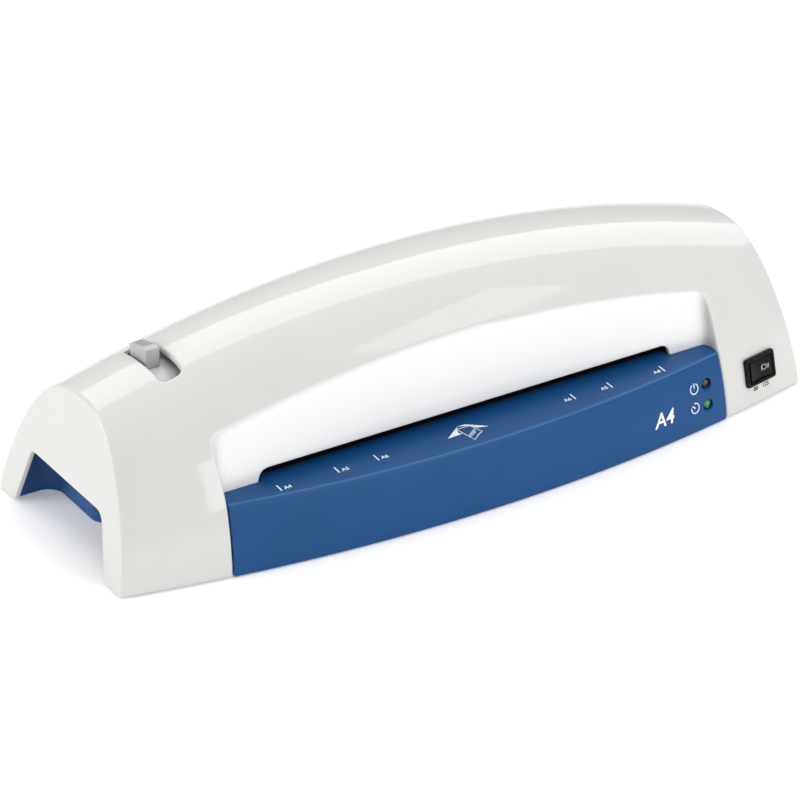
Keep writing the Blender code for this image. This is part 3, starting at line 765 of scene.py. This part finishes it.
def make_switch():
    """The rocker switch: a lipped frame with a well and its body, and the paddle with its two faces."""
    lip = [(-0.3, 0.0), (-1.3, 0.0), (-1.75, 0.22), (-2.0, 0.7), (-2.0, 1.5), (-1.8, 1.85)]
    lip += [(-1.2, 2.0), (7.5, 2.0)]
    boxes = [(y, 10.5 - inset, 7.5 - inset, 1.4 if inset < 1.5 else 0.7) for y, inset in lip]
    boxes += [(7.5, 9.4, 6.4, 0.7), (-0.3, 9.4, 6.4, 0.7)]
    rim = loft("switch_rim", [[(u, y, v) for u, v in box_outline(*box)] for y, *box in boxes], closed=True)
    body = prism("switch_body", box_outline(9.4, 6.4, 0.6), "Y", (7.2, 18.0))
    housing = join("switch_frame", [rim, body])
    smooth(housing, 30)
    housing.data.transform(wing_place())
    left = [(-7.6 + 0.5 * k, -2.15 + 0.95 * math.sin(math.pi / 2 * k / 14) ** 0.8) for k in range(15)]
    right = [(u, paddle_depth(u)) for u in PADDLE_MIDDLE + 0.5 * np.arange(15)]
    face = [(-7.6, -0.4)] + left + right + [(7.6, -0.4), (5.0, 4.0), (-5.0, 4.0)]
    paddle = bevel(prism("switch_paddle", face, "Z", (-5.1, 5.1), 25), 0.25, 2, 30)
    paddle.data.transform(wing_place())
    return housing, paddle


def make_lens(name, z):
    """A domed light in its hole."""
    face = float(front_y(LED_X, z))
    turns = np.linspace(math.radians(86), 0, 12)
    arc = [(face + 2.4 - 1.7 * math.sin(a), 2.35 * math.cos(a)) for a in turns]
    return lathe(name, arc + [(face + 2.4, 2.6), (-52.3, 2.6)], "Y", (LED_X, 0, z), 36)


def make_gland():
    """The hollow rubber gland in the rear of the cover, with rings along it."""
    ribs = []
    for k in range(4):
        y = 60.2 + 3.1 * k
        ribs += [(y, 6.0), (y + 0.3, 5.4), (y + 1.3, 5.4), (y + 1.6, 6.0)]
    flange = [(56.0, 7.7), (56.3, 8.0), (57.7, 8.0), (58.0, 7.7), (58.1, 6.0)]
    profile = flange + ribs + [(73.0, 5.9), (73.8, 5.3), (74.0, 4.6), (74.0, 3.2), (68.0, 3.1)]
    return lathe("cord_bushing", profile, "Y", (GLAND_X, 0, GLAND_Z), 40)


def make_comb(name, rear, front, z, thick, up):
    """A feed guide with low ribs along the feed direction and a bevelled entry edge."""
    slab = [(front, z + 0.4), (front + 1.2, z), (rear, z), (rear, z + thick), (front, z + thick)]
    if up < 0:
        slab = [(front, z + thick - 0.4), (front + 1.2, z + thick), (rear, z + thick)]
        slab += [(rear, z), (front, z)]
    pieces = [prism(name, slab, "X", (-116, 116))]
    level = z + thick if up > 0 else z
    foot, crest = level - 0.1 * up, level + 0.9 * up
    rib = [(front + 1.0, foot), (front + 3.2, crest), (rear - 3, crest), (rear - 1, foot)]
    for k in range(-5, 6):
        pieces.append(prism("rib", rib, "X", (21.5 * k - 0.9, 21.5 * k + 0.9)))
    return join(name, pieces)


# -------- printed marks

def stroke(points, width):
    """The two sides of a line of some width."""
    points = [Vector(p) for p in points]
    left, right = [], []
    for i, p in enumerate(points):
        back = p - points[max(i - 1, 0)]
        ahead = points[min(i + 1, len(points) - 1)] - p
        along = (back.normalized() + ahead.normalized()).normalized()
        side = Vector((-along.y, along.x)) * width / 2
        left.append(p + side)
        right.append(p - side)
    return left, right


def ink(name, strokes, fills, place):
    """Thin closed solids for strokes and filled outlines, set on a surface by place(u, v, height)."""
    objects = []
    for points, width in strokes:
        rings = []
        for a, b in zip(*stroke(points, width)):
            corners = [(a, -INK), (b, -INK), (b, INK), (a, INK)]
            rings.append([place(c.x, c.y, h) for c, h in corners])
        objects.append(loft("stroke", rings))
    for outline in fills:
        rings = [[place(u, v, h) for u, v in outline] for h in (-INK, INK)]
        objects.append(loft("fill", rings))
    return join(name, objects)


def lettering(name, entries, place):
    """Generic size marks as thin closed letters; entries are (text, u, v, height, lean)."""
    objects = []
    for text, u, v, height, lean in entries:
        curve = bpy.data.curves.new("letters", "FONT")
        curve.body, curve.align_x, curve.align_y = text, "CENTER", "CENTER"
        curve.size, curve.extrude, curve.shear, curve.offset = height * 1.38, INK, lean, 0.018 * height
        curve.resolution_u = 4
        source = bpy.data.objects.new("letters", curve)
        bpy.context.scene.collection.objects.link(source)
        bpy.context.view_layer.update()
        mesh = bpy.data.meshes.new_from_object(source.evaluated_get(bpy.context.evaluated_depsgraph_get()))
        bpy.data.objects.remove(source, do_unlink=True)
        shape = bmesh.new()
        shape.from_mesh(mesh)
        bmesh.ops.remove_doubles(shape, verts=shape.verts, dist=1e-4)
        for level in np.arange(-height, height, 0.8):
            geometry = shape.verts[:] + shape.edges[:] + shape.faces[:]
            bmesh.ops.bisect_plane(shape, geom=geometry, plane_co=(0, level, 0), plane_no=(0, 1, 0))
        for vert in shape.verts:
            vert.co = Vector(place(u + vert.co.x, v + vert.co.y, vert.co.z)) * MM
        shape.to_mesh(mesh)
        shape.free()
        letters = bpy.data.objects.new("letters", mesh)
        bpy.context.scene.collection.objects.link(letters)
        objects.append(letters)
    return join(name, objects)


def on_shelf(u, v, height):
    return u, v, shelf_z(v) + 0.02 + height


def on_front(u, v, height):
    return u, float(front_y(u, v)) - 0.04 - height, v


def on_wing(u, v, height):
    p = wing_place() @ (Vector((u, 0, v)) * MM) / MM
    y = float(front_y(p.x, p.z))
    return p.x, y - 0.03 - height, p.z


def on_paddle(u, v, height):
    depth = paddle_depth(u) if u > PADDLE_MIDDLE else -1.22
    return tuple(wing_place() @ (Vector((u, depth - 0.02 - height, v)) * MM) / MM)


def arc_points(radius, start, end, centre):
    turns = np.radians(np.linspace(start, end, 29))
    return [(centre[0] + radius * math.cos(a), centre[1] + radius * math.sin(a)) for a in turns]


def make_marks():
    """Every printed mark: those on the panel, those under the switch and those on its paddle."""
    lines, labels = [], []
    for text, x in (("A4", 108), ("A5", 77), ("A6", 55.5)):
        for side in (-1, 1):
            lines.append(([(side * x - 3, -59.6), (side * x - 3, -54.5)], 0.65))
            labels.append((text, side * (x - 3.9) - 3, -58.3, 2.45, 0.0))
    size_lines = ink("shelf_lines", lines, [], on_shelf)
    size_labels = lettering("shelf_labels", labels, on_shelf)

    cx, cy = -9.0, -59.6
    sheet = [(-3.5, 5.2), (3.9, 4.6), (6.3, -2.4), (2.9, -4.2), (-0.6, -7.0)]
    outline = [(cx + u, cy + v) for u, v in sheet + sheet[:1]]
    wings = [[(-11.5, 0.0), (-1.6, 7.0), (-3.4, 5.0), (-4.4, 1.6), (-3.0, 0.4)],
             [(11.5, 0.0), (2.4, 7.0), (-1.6, 7.0), (3.6, 4.9), (6.0, 1.6)]]
    hatch = []
    for k in range(6):
        x = cx + 0.9 * k
        hatch.append(([(x - 1.6, cy - 4.2 + 0.45 * k), (x - 0.2, cy - 1.4 + 0.6 * k)], 0.28))
    fills = [[(cx + u, cy + v) for u, v in wing] for wing in wings]
    icon = ink("insert_icon", [(outline, 0.4)] + hatch, fills, on_shelf)

    power = (119.4, 23.3)
    ready = (119.0, 13.6)
    strokes = [
        (arc_points(2.5, 118, 422, power), 0.5),
        ([(power[0], power[1] + 2.8), (power[0], power[1] + 0.3)], 0.5),
        (arc_points(2.5, -195, 100, ready), 0.5),
        ([(ready[0] - 1.8, ready[1] + 1.5), (ready[0], ready[1])], 0.55),
    ]
    icons = ink("light_icons", strokes, [], on_front)
    size_mark = lettering("panel_size_mark", [("A4", 98.5, 14.6, 7.6, 0.15)], on_front)
    thicknesses = [("80", -3.4, -9.9, 2.3, 0.0), ("125", 3.9, -9.9, 2.3, 0.0)]
    microns = lettering("switch_microns", thicknesses, on_wing)
    positions = [(arc_points(1.35, 90, 450, (2.6, 0.0)), 0.34), ([(0.9, -1.4), (0.9, 1.1)], 0.32)]
    positions += [([(u, -1.2), (u, 1.2)], 0.32) for u in (4.7, 5.5)]
    rocker_marks = ink("paddle_marks", positions, [], on_paddle)
    return (size_lines, size_labels, icon, icons, size_mark), microns, rocker_marks


# -------- materials

def material(name, colour, roughness, metallic=0.0, grain=0.7, relief=0.04, tint=0.03, specular=0.5,
             coat=0.0, coat_rough=0.06, stretch=(1, 1, 1), patch=35.0, spread_rough=0.04, emission=0.0,
             painted_light_colour=None):
    """A Principled finish whose tint, roughness and fine relief vary over the surface.

    Grain and patch are in mm. The painted light colour is the colour that the points marked by mark() take;
    it paints highlights and brighter lit patches.
    """
    made = bpy.data.materials.new(name)
    made.use_nodes = True
    nodes, links = made.node_tree.nodes, made.node_tree.links
    shader = nodes["Principled BSDF"]
    for socket, value in (("Metallic", metallic), ("Specular IOR Level", specular), ("Coat Weight", coat),
                          ("Coat Roughness", coat_rough)):
        shader.inputs[socket].default_value = value
    place = nodes.new("ShaderNodeTexCoord")
    scale = nodes.new("ShaderNodeMapping")
    scale.inputs["Scale"].default_value = stretch
    links.new(place.outputs["Object"], scale.inputs["Vector"])

    def noise(size, detail):
        node = nodes.new("ShaderNodeTexNoise")
        node.inputs["Scale"].default_value = 1 / (size * MM)
        node.inputs["Detail"].default_value = detail
        links.new(scale.outputs["Vector"], node.inputs["Vector"])
        return node

    fine = noise(grain, 3.0)
    bump = nodes.new("ShaderNodeBump")
    bump.inputs["Strength"].default_value = relief
    bump.inputs["Distance"].default_value = grain * MM * 0.5
    links.new(fine.outputs["Fac"], bump.inputs["Height"])
    links.new(bump.outputs["Normal"], shader.inputs["Normal"])

    broad = noise(patch, 4.0)
    ramp = nodes.new("ShaderNodeValToRGB")
    ramp.color_ramp.elements[0].position, ramp.color_ramp.elements[1].position = 0.3, 0.7
    for element, share in zip(ramp.color_ramp.elements, (1 - tint, 1 + tint)):
        element.color = (*(min(c * share, 1.0) for c in colour), 1.0)
    links.new(broad.outputs["Fac"], ramp.inputs["Fac"])
    colour_out = ramp.outputs["Color"]
    # Painted light: mixes the painted light colour in where mark() stored its share
    if painted_light_colour is not None:
        marked = nodes.new("ShaderNodeAttribute")
        marked.attribute_name = "painted_light_share"
        mix = nodes.new("ShaderNodeMix")
        mix.data_type = "RGBA"
        for socket in mix.inputs:
            if socket.name == "B" and socket.type == "RGBA":
                socket.default_value = (*painted_light_colour, 1.0)
            if socket.name == "A" and socket.type == "RGBA":
                links.new(colour_out, socket)
        links.new(marked.outputs["Fac"], mix.inputs["Factor"])
        colour_out = next(s for s in mix.outputs if s.type == "RGBA")
    links.new(colour_out, shader.inputs["Base Color"])
    wear = nodes.new("ShaderNodeMapRange")
    wear.inputs["To Min"].default_value = max(roughness - spread_rough, 0.02)
    wear.inputs["To Max"].default_value = roughness + spread_rough
    links.new(broad.outputs["Fac"], wear.inputs["Value"])
    links.new(wear.outputs["Result"], shader.inputs["Roughness"])
    if emission:
        shader.inputs["Emission Color"].default_value = (*colour, 1.0)
        shader.inputs["Emission Strength"].default_value = emission
    return made


LENS = dict(roughness=0.10, grain=1.0, relief=0.02, tint=0.25, patch=2.0, coat=0.6)
PRINT = dict(roughness=0.5, grain=0.3, relief=0.10, patch=1.5)
FINISHES = {
    # The cover's painted light colour paints the recess's rear wall brighter and a highlight along its edge
    "cover_white": dict(colour=(0.64, 0.645, 0.62), roughness=0.45, grain=0.5, relief=0.02, tint=0.012,
        specular=0.25, coat=0.7, coat_rough=0.05, painted_light_colour=(0.88, 0.88, 0.865)),
    # The panel's painted light colour is a painted highlight along the crease
    "panel_blue": dict(colour=(0.008, 0.070, 0.218), roughness=0.36, grain=0.5, relief=0.03, tint=0.05,
        specular=0.2, painted_light_colour=(0.042, 0.150, 0.36)),
    "tray_blue": dict(colour=(0.018, 0.085, 0.25), roughness=0.5, grain=0.6, relief=0.10, tint=0.06,
        specular=0.25),
    "lever_grey": dict(colour=(0.45, 0.455, 0.44), roughness=0.4, grain=0.5, relief=0.05),
    "skirt_grey": dict(colour=(0.66, 0.665, 0.65), roughness=0.45, grain=0.8, relief=0.08, tint=0.05,
        patch=5.0),
    "foot_rubber": dict(colour=(0.03, 0.03, 0.032), roughness=0.8, grain=0.4, relief=0.25, tint=0.2,
        patch=4.0, specular=0.3),
    "silicone": dict(colour=(0.36, 0.10, 0.06), roughness=0.55, grain=0.6, relief=0.12, tint=0.08,
        patch=15.0),
    "gear_nylon": dict(colour=(0.80, 0.77, 0.68), roughness=0.45, grain=0.5, relief=0.08, tint=0.04,
        patch=6.0),
    "bronze": dict(colour=(0.62, 0.40, 0.18), roughness=0.45, metallic=1.0, grain=0.25, relief=0.2,
        tint=0.15, patch=2.0),
    "heater_aluminium": dict(colour=(0.72, 0.72, 0.74), roughness=0.35, metallic=1.0, grain=0.4,
        relief=0.12, tint=0.06, stretch=(0.05, 1, 1)),
    "black_plastic": dict(colour=(0.012, 0.012, 0.013), roughness=0.34, grain=0.4, relief=0.06,
        tint=0.25, patch=6.0),
    "switch_black": dict(colour=(0.006, 0.006, 0.006), roughness=0.42, grain=0.4, relief=0.03, tint=0.2,
        patch=6.0, specular=0.12),
    "circuit_board": dict(colour=(0.02, 0.16, 0.06), roughness=0.35, grain=1.6, relief=0.25, tint=0.3,
        patch=3.0),
    "lens_red": dict(LENS, colour=(0.055, 0.010, 0.008)),
    "lens_green": dict(LENS, colour=(0.020, 0.23, 0.035), emission=0.12),
    "fuse_ceramic": dict(colour=(0.78, 0.77, 0.72), roughness=0.3, grain=0.5, relief=0.05, tint=0.06,
        patch=3.0),
    "steel": dict(colour=(0.58, 0.58, 0.60), roughness=0.38, metallic=1.0, grain=0.35, relief=0.10,
        tint=0.08, stretch=(0.08, 1, 1), patch=12.0),
    "print_white": dict(PRINT, colour=(0.86, 0.89, 0.92), tint=0.04),
    "print_black": dict(PRINT, colour=(0.02, 0.02, 0.022), tint=0.3),
    "print_grey": dict(PRINT, colour=(0.45, 0.45, 0.44), tint=0.05),
}
LOOKS = {name: material(name, **finish) for name, finish in FINISHES.items()}

# The first entry whose text is in a CAD node's name gives its look
NODE_LOOKS = (
    ("sleeve", "silicone"), ("gear_motor", "steel"), ("gear", "gear_nylon"), ("pinion", "gear_nylon"),
    ("bush_", "bronze"), ("heater", "heater_aluminium"), ("board", "circuit_board"), ("fuse", "fuse_ceramic"),
    ("thermostat", "black_plastic"), ("guide", "black_plastic"), ("cam_", "lever_grey"), ("", "steel"),
)


def show(obj, look, stands_for=(), body="housing"):
    """Gives a piece its look, its body and the CAD nodes that it replaces."""
    obj.data.materials.clear()
    obj.data.materials.append(LOOKS[look])
    for polygon in obj.data.polygons:
        polygon.material_index = 0
    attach(obj, body)
    if stands_for:
        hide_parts(*stands_for)
    return obj


def dress_nodes():
    """Gives every CAD node that stays in view its finish."""
    for name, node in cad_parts.items():
        look = next(look for part, look in NODE_LOOKS if part in name)
        node.data.materials.clear()
        node.data.materials.append(LOOKS[look])


# -------- studio

CAMERA_AT, CAMERA_TO = (-824.5, -1342.7, 867.1), (-17.38, -11.5, 33.7)
CAMERA_ROLL, CAMERA_VIEW = -0.94, 12.4886
FLOOR_HALF = 18000


def area_light(name, at, to, size, power, turn=0.0):
    """A soft box at a place in metres, facing another place, turned about its own axis by turn degrees."""
    light = bpy.data.lights.new(name, "AREA")
    light.shape, light.size, light.size_y = "RECTANGLE", *size
    light.energy = power
    obj = bpy.data.objects.new(name, light)
    facing = (Vector(to) - Vector(at)).to_track_quat("-Z", "Y").to_matrix().to_4x4()
    obj.matrix_world = Matrix.Translation(at) @ facing @ Matrix.Rotation(math.radians(turn), 4, "Z")
    obj.visible_camera = False
    bpy.context.scene.collection.objects.link(obj)
    return obj


def make_studio():
    """World, lights, floor and camera."""
    scene = bpy.context.scene
    scene.view_settings.view_transform = "Standard"
    world = bpy.data.worlds.new("studio")
    world.use_nodes = True
    background = world.node_tree.nodes["Background"].inputs
    background["Color"].default_value = (1.0, 1.0, 1.0, 1.0)
    background["Strength"].default_value = 0.45
    scene.world = world
    # Two overhead boxes: one only reflects in the glossy cover, the other only adds soft light
    overhead = area_light("overhead", (1.13, 0.99, 1.4), (1.13, 0.99, 0.0), (3.2, 1.7), 46.0, turn=-13.9)
    overhead.visible_diffuse = False
    fill = area_light("overhead_fill", (0.3, 0.2, 1.5), (0.3, 0.2, 0.0), (2.0, 2.0), 17.0)
    fill.visible_glossy = False
    area_light("left_box", (-1.7, 0.6, 0.6), (0, 0, 0.04), (0.9, 0.9), 14.0)
    area_light("front_box", (0.5, -1.9, 0.6), (0, 0, 0.04), (1.2, 0.8), 12.0)
    area_light("glint", (0.9, -0.95, 1.5), (0, -0.05, 0.05), (0.8, 0.5), 2.5)

    corners = [(u * FLOOR_HALF, v * FLOOR_HALF, 0) for u, v in ((-1, -1), (1, -1), (1, 1), (-1, 1))]
    floor = mesh_object("floor", corners, [(0, 1, 2, 3)])
    paper = material("floor_paper", (0.92, 0.92, 0.92), 0.9, grain=2.0, relief=0.02, tint=0.004,
                     specular=0.1, patch=300.0, emission=0.25)
    floor.data.materials.append(paper)

    camera = bpy.data.cameras.new("camera")
    camera.angle = math.radians(CAMERA_VIEW)
    camera.clip_end = 50.0
    obj = bpy.data.objects.new("camera", camera)
    at, to = Vector(CAMERA_AT) * MM, Vector(CAMERA_TO) * MM
    ahead = (to - at).normalized()
    right = ahead.cross(Vector((0, 0, 1))).normalized()
    up = right.cross(ahead)
    roll = math.radians(CAMERA_ROLL)
    side = math.cos(roll) * right + math.sin(roll) * up
    high = math.cos(roll) * up - math.sin(roll) * right
    turn = Matrix((side, high, -ahead)).transposed()
    obj.matrix_world = Matrix.Translation(at) @ turn.to_4x4()
    scene.collection.objects.link(obj)
    scene.camera = obj


# -------- the object

def main():
    dress_nodes()
    show(make_cover(), "cover_white", ["top_cover"])
    show(make_panel(), "panel_blue", ["front_panel"])
    show(make_tray(), "tray_blue", ["base_tray"])
    for end, y in (("front", -40), ("rear", 50)):
        for side, x in (("left", -150), ("right", 150)):
            foot = make_foot(x, y, f"foot_pad_{end}_{side}")
            show(foot, "foot_rubber", [f"foot_{end}_{side}"])
    show(make_skirt(), "skirt_grey", ["release_arm"], "release_lever")
    show(make_knob(), "lever_grey", ["release_knob"], "release_lever")
    housing, paddle = make_switch()
    show(housing, "switch_black", ["switch_housing"])
    show(paddle, "switch_black", ["switch_rocker"], "rocker")
    show(make_lens("lens_ready", LED_ZS["ready"]), "lens_green", ["led_ready"])
    show(make_lens("lens_power", LED_ZS["power"]), "lens_red", ["led_power"])
    show(make_gland(), "black_plastic", ["cord_gland"])
    lower = make_comb("entry_comb_lower", -30.5, -42.0, 34.9, 1.4, 1)
    show(lower, "black_plastic", ["entry_guide_lower"])
    upper = make_comb("entry_comb_upper", -32.5, -44.5, 41.6, 1.4, -1)
    show(upper, "black_plastic", ["entry_guide_upper"])
    white, microns, rocker_marks = make_marks()
    for piece in white:
        show(piece, "print_white")
    show(microns, "print_black")
    show(rocker_marks, "print_grey", body="rocker")
    make_studio()


main()
